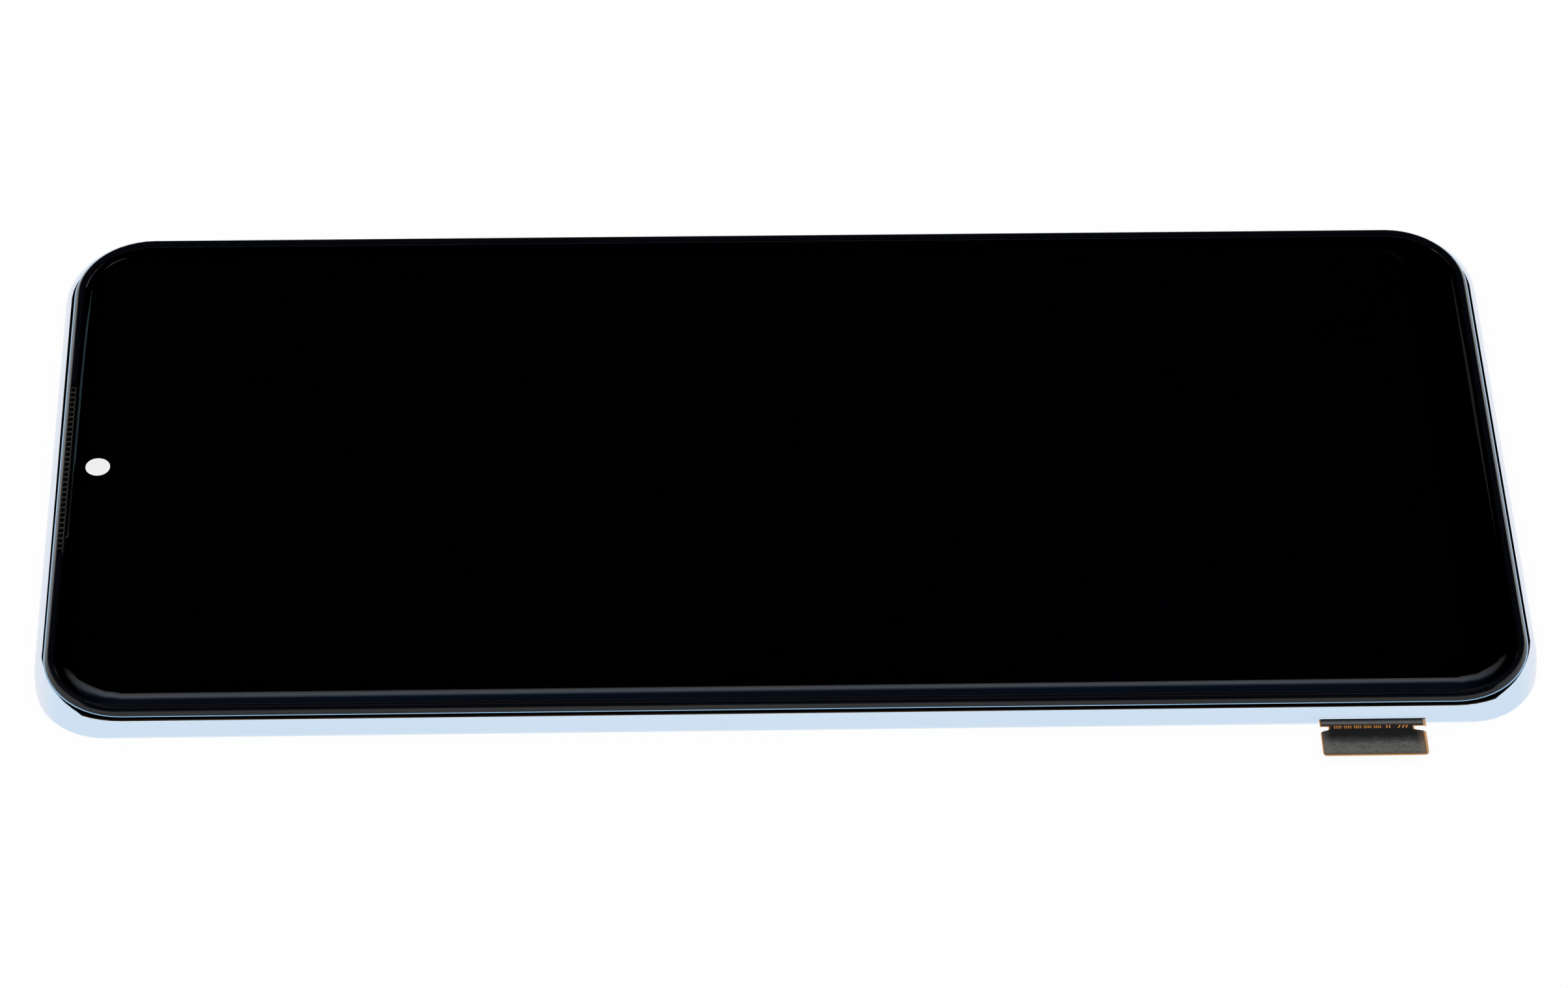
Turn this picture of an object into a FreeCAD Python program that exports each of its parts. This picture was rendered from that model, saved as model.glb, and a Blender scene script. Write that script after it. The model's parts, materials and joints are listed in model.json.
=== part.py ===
import FreeCAD, Part
import math
import os
from FreeCAD import Vector

os.makedirs("parts", exist_ok=True)

# Outline of the side frame, in mm. The origin is the centre of the rear rim plane,
# +X points to the bottom end of the phone and +Z out of the screen.
frame_length = 164.0
frame_width = 76.5
corner_radius = 10.0
half_length = frame_length / 2
half_width = frame_width / 2

# Thickness of each layer, from the mid plate up to the cover glass.
plate_bottom = 0.95
plate_thickness = 0.40
tray_tape_thickness = 0.12
tray_sheet = 0.12
reflector_thickness = 0.09
guide_thickness = 0.35
film_thickness = 0.07
rim_tape_thickness = 0.05
rear_polarizer_thickness = 0.09
cell_glass_thickness = 0.20
front_polarizer_thickness = 0.12
optical_adhesive_thickness = 0.12
ink_thickness = 0.03
cover_glass_thickness = 0.70

# Height of each layer's lower face above the rear rim.
plate_top = plate_bottom + plate_thickness
tray_bottom = plate_top + tray_tape_thickness
reflector_bottom = tray_bottom + tray_sheet
guide_bottom = reflector_bottom + reflector_thickness
diffuser_bottom = guide_bottom + guide_thickness
lower_prism_bottom = diffuser_bottom + film_thickness
upper_prism_bottom = lower_prism_bottom + film_thickness
rim_tape_bottom = upper_prism_bottom + film_thickness
rear_polarizer_bottom = rim_tape_bottom + rim_tape_thickness
tft_bottom = rear_polarizer_bottom + rear_polarizer_thickness
color_filter_bottom = tft_bottom + cell_glass_thickness
front_polarizer_bottom = color_filter_bottom + cell_glass_thickness
ledge_height = front_polarizer_bottom + front_polarizer_thickness
ink_bottom = ledge_height + optical_adhesive_thickness
glass_bottom = ink_bottom + ink_thickness
glass_top = glass_bottom + cover_glass_thickness

# Side frame section. Insets count inward from the widest line of the wall.
rim_outer_inset = 0.55
rim_inner_inset = 1.90
widest_height = 1.35
riser_inset = 0.95
riser_bottom = ledge_height - 0.16
wall_pocket_depth = 1.30
wall_pocket_top = ledge_height - 0.80

# Black lip round the glass, from its foot on the riser to its inner edge.
lip_inner_inset = 2.25
lip_top = ledge_height + 0.68
lip_slope_run = 0.47
lip_slope_rise = 0.55
lip_crown_run = 0.38
lip_inner_bevel = (0.18, 0.12)

# Cavity for the display module and the flange below it: top end, bottom end, long sides.
cavity_insets = (2.65, 4.30, 3.45)
flange_insets = (3.60, 5.00, 4.60)
module_clearance = 0.10

# Cover glass: gap to the lip, rounded edge and recess beside the earpiece.
glass_gap = 0.10
glass_inset = lip_inner_inset + glass_gap
glass_curve_width = 1.50
glass_curve_drop = 0.33
recess_half_length = 10.7
recess_depth = 0.35
ink_setback = 0.10

# Front camera window and the well behind it.
camera_offset = 5.4
camera_x = -half_length + camera_offset
camera_window_radius = 1.375
camera_ink_radius = 2.0
polarizer_hole_radius = 1.7
camera_well_radius = 2.3
rear_hole_radius = camera_well_radius + 0.1
collar_wall = 0.2
guide_notch_clearance = 0.05
camera_pocket_half_width = 4.0
camera_pocket = (camera_x - 2.45, camera_x + 4.0, -camera_pocket_half_width, camera_pocket_half_width)

# Display module edges along X, and the picture area.
module_start = -half_length + cavity_insets[0] + module_clearance
module_half_width = half_width - cavity_insets[2] - module_clearance
tft_offset = 5.7
tft_end = half_length - tft_offset
cell_end = tft_end - 1.7
picture_start = -half_length + 3.9
picture_end = cell_end - 0.7
picture_half_width = half_width - 4.05
picture_corner = 4.0
chip_size = (0.75, 26.0, 0.18)

# Backlight frame walls, light guide and light bar.
backlight_top_wall = 0.5
backlight_side_wall = 0.8
backlight_bar_start = tft_end - 1.3
guide_corner_cut = 3.4
guide_end = backlight_bar_start - 1.5
film_end = guide_end - 0.6
sheet_clearance = 0.05
film_clearance = 0.15
led_size = (0.6, 3.0, 0.34)
led_gap = 0.6
led_pitch = led_size[1] + led_gap
led_bar_half_length = module_half_width - guide_corner_cut - 2.5
led_count = round(2 * led_bar_half_length / led_pitch)
led_flex_thickness = 0.08

# Earpiece slit and its mesh.
slit_half_length = 13.3
slit_inset = 1.60
mesh_thickness = 0.12
mesh_cells = 33
mesh_pitch = 0.79
mesh_bar = 0.25
mesh_border = 0.14

# Display flex: loop round the module's end, strip behind the tray, and the tail.
flex_thickness = 0.12
flex_half_width = 18.0
flex_bond_start = tft_end - 0.7
flex_loop_x = tft_end + 0.2
tail_width = 11.55
tail_offset = 24.8
tail_start = half_length - tail_offset
tail_edges = (tail_start, tail_start + tail_width)
tail_bend_radius = 2.0
tail_bend_y = -flex_half_width - 1.5
shield_thickness = 0.03
tail_top = plate_bottom - shield_thickness

# Flex head beyond the near wall: neck, shoulders and connector head.
neck_edges = (tail_start + 0.90, tail_edges[1] - 1.35)
head_edges = (tail_start, tail_edges[1] - 0.10)
neck_start_y = -half_width - 0.45
neck_end_y = neck_start_y - 0.60
shoulder_end_y = neck_end_y - 0.55
head_end_y = neck_start_y - 4.35
head_corner = 0.45
stiffener_thickness = 0.10
head_border = 0.27
shield_borders = (0.22, 0.33)
connector_size = (9.0, 1.9, 0.70)
connector_wall = 0.5
connector_depth = 0.45
connector_y = neck_start_y - 2.55
contact_pitch = 0.35
contact_size = (0.14, 0.18, 0.08)
contact_rows = 16

# Notch in the near wall where the flex leaves the frame.
notch_clearance = (0.30, 0.40)
notch_edges = (tail_edges[0] - notch_clearance[0], tail_edges[1] + notch_clearance[1])
notch_height = 1.75
notch_corner = 0.5

# Openings of the side frame on the sides that the camera doesn't see.
microphone_radius = 0.4
microphone_height = 1.45
top_microphone_y = -21.6
bottom_microphone_y = 18.9
key_slot = (0.70, 2.00)
key_half_lengths = (5.5, 10.5)
key_centres = (-0.335 * half_length, -0.628 * half_length)
port_half_width = 4.6
speaker_slot = (1.3, 0.25, 0.80)
speaker_pitch = 2.2
speaker_slots = 6
speaker_start = -22.0

# Window and fixings of the mid plate, and the tape under the tray.
flex_window = (tail_start - 1.2, tft_end - 2.3, tail_bend_y - 4.0, flex_half_width + 1.0)
window_corner = 1.0
standoff_margins = (20.0, 14.5)
standoff_spacing = (frame_length - standoff_margins[0], frame_width - standoff_margins[1])
standoff_radius = 1.4
thread_radius = 0.6
thread_depth = 0.80
rib_margins = (7.25, 12.25)
rib_bay = (
    -0.365 * half_length,
    0.585 * half_length,
    -half_width + rib_margins[0],
    half_width - rib_margins[1],
)
rib_width = 1.0
rib_bottom = 0.15
tape_width = 3.2
cross_tape_width = 6.0
tape_margins = (11.0, 4.3)
cross_tapes = (-0.77, -0.33, 0.16)

# Small parts on the flex, in the window of the mid plate.
component_x = flex_window[1] - 2.0
driver_size = (2.6, 3.6, 0.38)
capacitor_size = (1.0, 0.5, 0.33)
capacitor_pitch = 2.4
capacitors_per_side = 5


def roundedWire(box, radius, z):
    x0, x1, y0, y1 = box
    k = radius * (1 - math.sqrt(0.5))
    if radius <= 0:
        corners = [(x0, y0), (x1, y0), (x1, y1), (x0, y1), (x0, y0)]
        return Part.makePolygon([Vector(x, y, z) for x, y in corners])
    edges = []
    marks = [
        ((x1 - radius, y0), (x1 - k, y0 + k), (x1, y0 + radius)),
        ((x1, y1 - radius), (x1 - k, y1 - k), (x1 - radius, y1)),
        ((x0 + radius, y1), (x0 + k, y1 - k), (x0, y1 - radius)),
        ((x0, y0 + radius), (x0 + k, y0 + k), (x0 + radius, y0)),
    ]
    previous = ((x0 + x1) / 2, y0)
    for start, middle, end in marks:
        edges.append(Part.makeLine(Vector(*previous, z), Vector(*start, z)))
        edges.append(Part.Arc(Vector(*start, z), Vector(*middle, z), Vector(*end, z)).toShape())
        previous = end
    edges.append(Part.makeLine(Vector(*previous, z), Vector((x0 + x1) / 2, y0, z)))
    return Part.Wire(edges)


def slab(box, radius, bottom, top):
    face = Part.Face(roundedWire(box, radius, bottom))
    return face.extrude(Vector(0, 0, top - bottom))


def cutCornerSlab(box, cut, bottom, top):
    x0, x1, y0, y1 = box
    points = [(x0 + cut, y0), (x1 - cut, y0), (x1, y0 + cut), (x1, y1 - cut)]
    points += [(x1 - cut, y1), (x0 + cut, y1), (x0, y1 - cut), (x0, y0 + cut), (x0 + cut, y0)]
    face = Part.Face(Part.makePolygon([Vector(x, y, bottom) for x, y in points]))
    return face.extrude(Vector(0, 0, top - bottom))


def insetBox(start, end, side):
    return (-half_length + start, half_length - end, -half_width + side, half_width - side)


def evenBox(inset):
    return insetBox(inset, inset, inset)


def grownBox(box, growth):
    x0, x1, y0, y1 = box
    return (x0 - growth, x1 + growth, y0 - growth, y1 + growth)


def column(x, y, radius, bottom, top):
    return Part.makeCylinder(radius, top - bottom, Vector(x, y, bottom))


def block(x0, x1, y0, y1, bottom, top):
    return Part.makeBox(x1 - x0, y1 - y0, top - bottom, Vector(x0, y0, bottom))


def cameraColumn(radius, bottom, top):
    return column(camera_x, 0, radius, bottom, top)


def sectionPoint(inset, z):
    return Vector(0, -half_width + inset, z)


def sectionLine(start, end):
    return Part.makeLine(sectionPoint(*start), sectionPoint(*end))


def sectionArc(start, middle, end):
    return Part.Arc(sectionPoint(*start), sectionPoint(*middle), sectionPoint(*end)).toShape()


def ellipsePoint(centre, reach, angle):
    inset = centre[0] - reach[0] * math.cos(math.radians(angle))
    return (inset, centre[1] + reach[1] * math.sin(math.radians(angle)))


def tangentArc(start, end):
    # arc that leaves the start upright, as the wall does at its widest line
    run = end[0] - start[0]
    rise = start[1] - end[1]
    radius = (run * run + rise * rise) / (2 * run)
    turn = math.asin(rise / radius) / 2
    middle = (start[0] + radius * (1 - math.cos(turn)), start[1] - radius * math.sin(turn))
    return sectionArc(start, middle, end)


def sectionCurve(centre, reach, start, end):
    steps = 2
    arcs = []
    for i in range(steps):
        first = start + (end - start) * i / steps
        last = start + (end - start) * (i + 1) / steps
        marks = [ellipsePoint(centre, reach, angle) for angle in (first, (first + last) / 2, last)]
        arcs.append(sectionArc(*marks))
    return arcs


def ringFromSection(edges):
    face = Part.Face(Part.Wire(edges))
    run_x = half_length - corner_radius
    run_y = half_width - corner_radius
    near = face.translated(Vector(-run_x, 0, 0)).extrude(Vector(2 * run_x, 0, 0))
    turned = face.copy()
    turned.rotate(Vector(0, 0, 0), Vector(0, 0, 1), 90)
    turned.translate(Vector(half_length - half_width, -run_y, 0))
    end = turned.extrude(Vector(0, 2 * run_y, 0))
    bend = face.translated(Vector(run_x, 0, 0))
    bend = bend.revolve(Vector(run_x, -run_y, 0), Vector(0, 0, 1), 90)
    quarter = [near, bend, end, mirroredX(bend)]
    other = []
    for piece in quarter:
        copy = piece.copy()
        copy.rotate(Vector(0, 0, 0), Vector(0, 0, 1), 180)
        other.append(copy)
    return near.fuse(quarter[1:] + other)


def mirroredX(shape):
    return shape.mirror(Vector(0, 0, 0), Vector(1, 0, 0))


def wallSection():
    reach = (riser_inset, riser_bottom - widest_height)
    return [
        tangentArc((0, widest_height), (rim_outer_inset, 0)),
        *sectionCurve((riser_inset, widest_height), reach, 0, 90),
        sectionLine((riser_inset, riser_bottom), (riser_inset, ledge_height)),
        sectionLine((riser_inset, ledge_height), (rim_inner_inset, ledge_height)),
        sectionLine((rim_inner_inset, ledge_height), (rim_inner_inset, 0)),
        sectionLine((rim_inner_inset, 0), (rim_outer_inset, 0)),
    ]


def innerLedge():
    outer_inset = (riser_inset + rim_inner_inset) / 2
    ledge = slab(evenBox(outer_inset), corner_radius - outer_inset, plate_bottom, ledge_height)
    side = cavity_insets[2]
    cavity = slab(insetBox(*cavity_insets), corner_radius - side, plate_top, ledge_height)
    window = slab(insetBox(*flange_insets), corner_radius - flange_insets[2], plate_bottom, plate_top)
    return ledge.cut(cavity).cut(window)


def flexNotch():
    x0, x1 = notch_edges
    y0 = -half_width - 1
    y1 = -half_width + rim_inner_inset
    wire = roundedWire((x0, x1, -notch_height, notch_height), notch_corner, 0)
    face = Part.Face(wire)
    face.rotate(Vector(0, 0, 0), Vector(1, 0, 0), 90)
    face.translate(Vector(0, y1, 0))
    return face.extrude(Vector(0, y0 - y1, 0))


def microphonePort(x_sign, y, depth):
    start = Vector(x_sign * (half_length + 0.5), y, microphone_height)
    tunnel = Part.makeCylinder(microphone_radius, depth + 0.5, start, Vector(-x_sign, 0, 0))
    x = x_sign * (half_length - depth)
    reach = 0.75 * microphone_radius
    drop = block(x - reach, x + reach, y - reach, y + reach, plate_bottom / 2, microphone_height)
    return tunnel.fuse(drop)


def keyOpening(centre, reach):
    inner = half_width - rim_inner_inset
    slot = block(centre - reach, centre + reach, inner, half_width + 1, *key_slot)
    x0 = centre - reach - 0.6
    x1 = centre + reach + 0.6
    pocket = block(x0, x1, inner - wall_pocket_depth, inner, plate_bottom / 2, wall_pocket_top)
    return slot.fuse(pocket)


def speakerSlots():
    slots = []
    length, bottom, top = speaker_slot
    for i in range(speaker_slots):
        y = speaker_start + speaker_pitch * i
        slots.append(block(half_length - 3, half_length + 1, y, y + length, bottom, top))
    return slots


def earpieceChannel():
    x0 = -half_length + slit_inset + mesh_border
    x1 = -half_length + lip_inner_inset - mesh_border
    reach = slit_half_length - mesh_pitch / 2
    return block(x0, x1, -reach, reach, plate_bottom / 2, ledge_height)


def sideFrame():
    ring = ringFromSection(wallSection()).fuse(innerLedge())
    x0, x1, y0, y1 = camera_pocket
    cuts = [
        flexNotch(),
        earpieceChannel(),
        block(x0, x1, y0, y1, plate_bottom, plate_top),
        microphonePort(-1, top_microphone_y, rim_inner_inset + 0.25),
        microphonePort(1, bottom_microphone_y, rim_inner_inset + 0.50),
        block(half_length - 3, half_length + 1, -port_half_width, port_half_width, -1, plate_bottom),
    ]
    for centre, reach in zip(key_centres, key_half_lengths):
        cuts.append(keyOpening(centre, reach))
    cuts.extend(speakerSlots())
    return ring.cut(cuts).removeSplitter()


def slitBlock(bottom, top):
    x0 = -half_length + slit_inset
    x1 = -half_length + lip_inner_inset + 0.5
    return block(x0, x1, -slit_half_length, slit_half_length, bottom, top)


def frontLip():
    foot = (riser_inset, ledge_height)
    inner = (lip_inner_inset, ledge_height)
    brow = (riser_inset + lip_slope_run, ledge_height + lip_slope_rise)
    bulge = (riser_inset + 0.38 * lip_slope_run, ledge_height + 0.55 * lip_slope_rise)
    crown = (brow[0] + lip_crown_run, lip_top)
    between = (brow[0] + 0.47 * lip_crown_run, brow[1] + 0.73 * (lip_top - brow[1]))
    flat_end = (lip_inner_inset - lip_inner_bevel[0], lip_top)
    bevel_end = (lip_inner_inset, lip_top - lip_inner_bevel[1])
    section = [
        sectionArc(foot, bulge, brow),
        sectionArc(brow, between, crown),
        sectionLine(crown, flat_end),
        sectionLine(flat_end, bevel_end),
        sectionLine(bevel_end, inner),
        sectionLine(inner, foot),
    ]
    return ringFromSection(section).cut(slitBlock(ledge_height - 1, glass_top))


def earpieceMesh():
    x0 = -half_length + slit_inset
    x1 = -half_length + lip_inner_inset - 0.02
    strip = block(x0, x1, -slit_half_length, slit_half_length, ledge_height, ledge_height + mesh_thickness)
    cells = []
    reach = (mesh_pitch - mesh_bar) / 2
    for i in range(mesh_cells):
        y = (i - (mesh_cells - 1) / 2) * mesh_pitch
        cells.append(block(x0 + mesh_border, x1 - mesh_border, y - reach, y + reach, ledge_height, glass_top))
    return strip.cut(cells)


def glassRecess():
    edge = -half_length + glass_inset
    points = [
        (edge - 1, -recess_half_length - 1 - recess_depth),
        (edge, -recess_half_length - recess_depth),
        (edge + recess_depth, -recess_half_length),
        (edge + recess_depth, recess_half_length),
        (edge, recess_half_length + recess_depth),
        (edge - 1, recess_half_length + 1 + recess_depth),
    ]
    points.append(points[0])
    face = Part.Face(Part.makePolygon([Vector(x, y, ledge_height) for x, y in points]))
    return face.extrude(Vector(0, 0, 2))


def coverGlass():
    flat_inset = glass_inset + glass_curve_width
    drop = glass_curve_drop
    radius = (glass_curve_width ** 2 + drop ** 2) / (2 * drop)
    turn = math.asin(glass_curve_width / radius) / 2
    middle = (flat_inset - radius * math.sin(turn), glass_top - radius * (1 - math.cos(turn)))
    shoulder = (glass_inset, glass_top - drop)
    section = [
        sectionLine((glass_inset, glass_bottom), shoulder),
        sectionArc(shoulder, middle, (flat_inset, glass_top)),
        sectionLine((flat_inset, glass_top), (flat_inset, glass_bottom)),
        sectionLine((flat_inset, glass_bottom), (glass_inset, glass_bottom)),
    ]
    core = slab(evenBox(flat_inset), corner_radius - flat_inset, glass_bottom, glass_top)
    glass = ringFromSection(section).fuse(core).removeSplitter()
    return glass.cut(glassRecess())


def inkMask():
    inset = glass_inset + ink_setback
    border = slab(evenBox(inset), corner_radius - inset, ink_bottom, glass_bottom)
    picture = (picture_start, picture_end, -picture_half_width, picture_half_width)
    ring = border.cut(slab(picture, picture_corner, ink_bottom, glass_bottom))
    ring = ring.fuse(cameraColumn(camera_ink_radius, ink_bottom, glass_bottom))
    ring = ring.cut(cameraColumn(camera_window_radius, ink_bottom, glass_bottom))
    return ring.cut(glassRecess().translated(Vector(ink_setback, 0, 0)))


def frontAdhesive():
    inset = glass_inset + ink_setback
    outer = slab(evenBox(inset), corner_radius - inset, ledge_height, ink_bottom)
    top, bottom, side = cavity_insets
    inner = insetBox(top, bottom - ink_setback, side - ink_setback)
    ring = outer.cut(slab(inner, corner_radius - side, ledge_height, ink_bottom))
    length = recess_half_length + recess_depth + 0.2
    return ring.cut(block(-half_length, -half_length + 3, -length, length, 0, glass_top))


def moduleBox(end, inset=0.0):
    return (module_start + inset, end - inset, -module_half_width + inset, module_half_width - inset)


def moduleCorner():
    return corner_radius - cavity_insets[2] - module_clearance


def layer(end, inset, bottom, thickness, hole=0.0):
    sheet = slab(moduleBox(end, inset), moduleCorner() - inset, bottom, bottom + thickness)
    if hole > 0:
        sheet = sheet.cut(cameraColumn(hole, bottom, bottom + thickness))
    return sheet


def driverChip():
    depth, length, height = chip_size
    x0 = cell_end + 0.1
    return block(x0, x0 + depth, -length / 2, length / 2, color_filter_bottom, color_filter_bottom + height)


def rimTape():
    top = rim_tape_bottom + rim_tape_thickness
    outer = slab(moduleBox(tft_end, tray_sheet), moduleCorner() - tray_sheet, rim_tape_bottom, top)
    x0, x1, y0, y1 = moduleBox(tft_end, backlight_side_wall + 0.4)
    window = cutCornerSlab((x0, film_end - 0.6, y0, y1), guide_corner_cut, rim_tape_bottom, top)
    collar = cameraColumn(camera_well_radius + collar_wall, rim_tape_bottom, top)
    well = cameraColumn(camera_well_radius, rim_tape_bottom, top)
    return outer.cut(window).fuse(collar).cut(well)


def innerBox(end, clearance):
    start = module_start + tray_sheet + backlight_top_wall + clearance
    side = module_half_width - tray_sheet - backlight_side_wall - clearance
    return (start, end, -side, side)


def backlightSheet(end, clearance, bottom, thickness):
    sheet = cutCornerSlab(innerBox(end, clearance), guide_corner_cut, bottom, bottom + thickness)
    notch_radius = camera_well_radius + collar_wall + guide_notch_clearance
    return sheet.cut(cameraColumn(notch_radius, bottom, bottom + thickness))


def backlightFrame():
    outer_box = moduleBox(tft_end, tray_sheet)
    outer = slab(outer_box, moduleCorner() - tray_sheet, reflector_bottom, rim_tape_bottom)
    box = innerBox(backlight_bar_start, 0.0)
    window = cutCornerSlab(box, guide_corner_cut, reflector_bottom, rim_tape_bottom)
    collar = cameraColumn(camera_well_radius + collar_wall, reflector_bottom, rim_tape_bottom)
    well = cameraColumn(camera_well_radius, reflector_bottom, rim_tape_bottom)
    return outer.cut(window).fuse(collar).cut(well)


def backlightTray():
    wall_top = rim_tape_bottom - 0.08
    outer = slab(moduleBox(tft_end), moduleCorner(), tray_bottom, wall_top)
    inner_box = moduleBox(tft_end, tray_sheet)
    inner = slab(inner_box, moduleCorner() - tray_sheet, reflector_bottom, wall_top)
    well = cameraColumn(camera_well_radius, tray_bottom, reflector_bottom)
    return outer.cut(inner).cut(well)


def backlightLeds():
    depth, length, height = led_size
    leds = []
    x0 = guide_end + sheet_clearance
    for i in range(led_count):
        y = (i - (led_count - 1) / 2) * led_pitch - length / 2
        leds.append(block(x0, x0 + depth, y, y + length, guide_bottom, guide_bottom + height))
    return Part.makeCompound(leds)


def ledFlex():
    bottom = guide_bottom + led_size[2]
    x0 = guide_end + sheet_clearance
    reach = led_count * led_pitch / 2
    return block(x0, backlight_bar_start - 0.1, -reach, reach, bottom, bottom + led_flex_thickness)


def trayTape():
    strips = []
    x0 = module_start + tape_margins[0]
    x1 = tft_end - tape_margins[1]
    outer = module_half_width - 0.2
    inner = outer - tape_width
    strips.append(block(x0, x1, -outer, -inner, plate_top, tray_bottom))
    strips.append(block(x0, x1, inner, outer, plate_top, tray_bottom))
    reach = inner - 3.0
    for share in cross_tapes:
        x = share * half_length
        strips.append(block(x, x + cross_tape_width, -reach, reach, plate_top, tray_bottom))
    return Part.makeCompound(strips)


def midPlate():
    box = insetBox(*flange_insets)
    plate = slab(box, corner_radius - flange_insets[2], plate_bottom, plate_top)
    cuts = [
        block(*camera_pocket, plate_bottom, plate_top),
        cutCornerSlab(flex_window, window_corner, plate_bottom, plate_top),
    ]
    return plate.cut(cuts)


def standoffPlaces():
    dx = standoff_spacing[0] / 2
    dy = standoff_spacing[1] / 2
    return [(-dx, -dy), (dx, -dy), (dx, dy), (-dx, dy)]


def screwStandoffs():
    posts = []
    for x, y in standoffPlaces():
        corners = []
        for i in range(7):
            angle = math.radians(60 * i)
            reach = Vector(math.cos(angle), math.sin(angle), 0) * standoff_radius
            corners.append(Vector(x, y, 0) + reach)
        post = Part.Face(Part.makePolygon(corners)).extrude(Vector(0, 0, plate_bottom))
        posts.append(post.cut(column(x, y, thread_radius, 0, thread_depth)))
    return Part.makeCompound(posts)


def batteryRibs():
    outer = cutCornerSlab(grownBox(rib_bay, rib_width), 2.0, rib_bottom, plate_bottom)
    return outer.cut(cutCornerSlab(rib_bay, 1.5, rib_bottom, plate_bottom))


def flexLoop():
    top = color_filter_bottom + flex_thickness
    bottom = plate_top
    middle = (top + bottom) / 2
    outer = (top - bottom) / 2
    inner = outer - flex_thickness
    x = flex_loop_x

    def point(px, pz):
        return Vector(px, 0, pz)

    edges = [
        Part.makeLine(point(flex_bond_start, top), point(x, top)),
        Part.Arc(point(x, top), point(x + outer, middle), point(x, bottom)).toShape(),
        Part.makeLine(point(x, bottom), point(tail_start, bottom)),
        Part.makeLine(point(tail_start, bottom), point(tail_start, bottom + flex_thickness)),
        Part.makeLine(point(tail_start, bottom + flex_thickness), point(x, bottom + flex_thickness)),
        Part.Arc(point(x, middle - inner), point(x + inner, middle), point(x, middle + inner)).toShape(),
        Part.makeLine(point(x, middle + inner), point(flex_bond_start, middle + inner)),
        Part.makeLine(point(flex_bond_start, middle + inner), point(flex_bond_start, top)),
    ]
    face = Part.Face(Part.Wire(edges))
    face.translate(Vector(0, -flex_half_width, 0))
    return face.extrude(Vector(0, 2 * flex_half_width, 0))


def bendPair(start_y, z, drop, upper_radius, lower_radius, angle):
    low_y = start_y - (upper_radius + lower_radius) * math.sin(angle)

    def upper(turn):
        y = start_y - upper_radius * math.sin(turn)
        return Vector(0, y, z - upper_radius * (1 - math.cos(turn)))

    def lower(turn):
        y = low_y + lower_radius * math.sin(turn)
        return Vector(0, y, z - drop + lower_radius * (1 - math.cos(turn)))

    first = Part.Arc(upper(0), upper(angle / 2), upper(angle)).toShape()
    second = Part.Arc(lower(angle), lower(angle / 2), lower(0)).toShape()
    return first, second, low_y


def flexTail():
    drop = plate_top + flex_thickness - tail_top
    radius = tail_bend_radius
    angle = math.acos(1 - drop / (2 * radius))
    thickness = flex_thickness
    top_z = plate_top + thickness
    half = thickness / 2
    top = bendPair(tail_bend_y, top_z, drop, radius + half, radius - half, angle)
    under = bendPair(tail_bend_y, plate_top, drop, radius - half, radius + half, angle)
    end_y = neck_start_y + 0.5
    begin_y = -flex_half_width

    def point(y, z):
        return Vector(0, y, z)

    edges = [
        Part.makeLine(point(begin_y, plate_top), point(begin_y, top_z)),
        Part.makeLine(point(begin_y, top_z), point(tail_bend_y, top_z)),
        top[0],
        top[1],
        Part.makeLine(point(top[2], tail_top), point(end_y, tail_top)),
        Part.makeLine(point(end_y, tail_top), point(end_y, tail_top - thickness)),
        Part.makeLine(point(end_y, tail_top - thickness), point(under[2], tail_top - thickness)),
        under[1],
        under[0],
        Part.makeLine(point(tail_bend_y, plate_top), point(begin_y, plate_top)),
    ]
    face = Part.Face(Part.Wire(Part.sortEdges(edges)[0]))
    face.translate(Vector(tail_edges[0], 0, 0))
    return face.extrude(Vector(tail_edges[1] - tail_edges[0], 0, 0))


def headFace(border, z):
    left = head_edges[0] + border
    right = head_edges[1] - border
    front = head_end_y + border
    neck_left = neck_edges[0] + border
    neck_right = neck_edges[1] - border
    corner = max(head_corner - border, 0.15)
    k = corner * (1 - math.sqrt(0.5))
    mid_y = (neck_end_y + shoulder_end_y) / 2

    def point(x, y):
        return Vector(x, y, z)

    def shoulder(x0, x1):
        curve = Part.BSplineCurve()
        middle = (x0 + x1) / 2
        points = [point(x0, neck_end_y), point(x0 + 0.25 * (middle - x0), mid_y + 0.12), point(middle, mid_y)]
        points += [point(middle + 0.75 * (x1 - middle), mid_y - 0.12), point(x1, shoulder_end_y)]
        curve.interpolate(points)
        return curve.toShape()

    def bend(start, middle, end):
        return Part.Arc(point(*start), point(*middle), point(*end)).toShape()

    back = neck_start_y + 0.2 if border == 0 else neck_end_y
    edges = [shoulder(neck_left, left), shoulder(neck_right, right)]
    if border == 0:
        edges.append(Part.makeLine(point(neck_left, back), point(neck_left, neck_end_y)))
        edges.append(Part.makeLine(point(neck_right, back), point(neck_right, neck_end_y)))
    edges += [
        Part.makeLine(point(left, shoulder_end_y), point(left, front + corner)),
        bend((left, front + corner), (left + k, front + k), (left + corner, front)),
        Part.makeLine(point(left + corner, front), point(right - corner, front)),
        bend((right - corner, front), (right - k, front + k), (right, front + corner)),
        Part.makeLine(point(right, front + corner), point(right, shoulder_end_y)),
        Part.makeLine(point(neck_right, back), point(neck_left, back)),
    ]
    return Part.Face(Part.Wire(Part.sortEdges(edges)[0]))


def displayFlex():
    bottom = tail_top - flex_thickness
    wide = (tail_edges[0], tail_edges[1], neck_start_y, neck_start_y + 1.0)
    strip = slab(wide, 0, bottom, tail_top)
    head = headFace(0, bottom).extrude(Vector(0, 0, flex_thickness))
    return flexLoop().fuse([flexTail(), strip, head]).removeSplitter()


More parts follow.
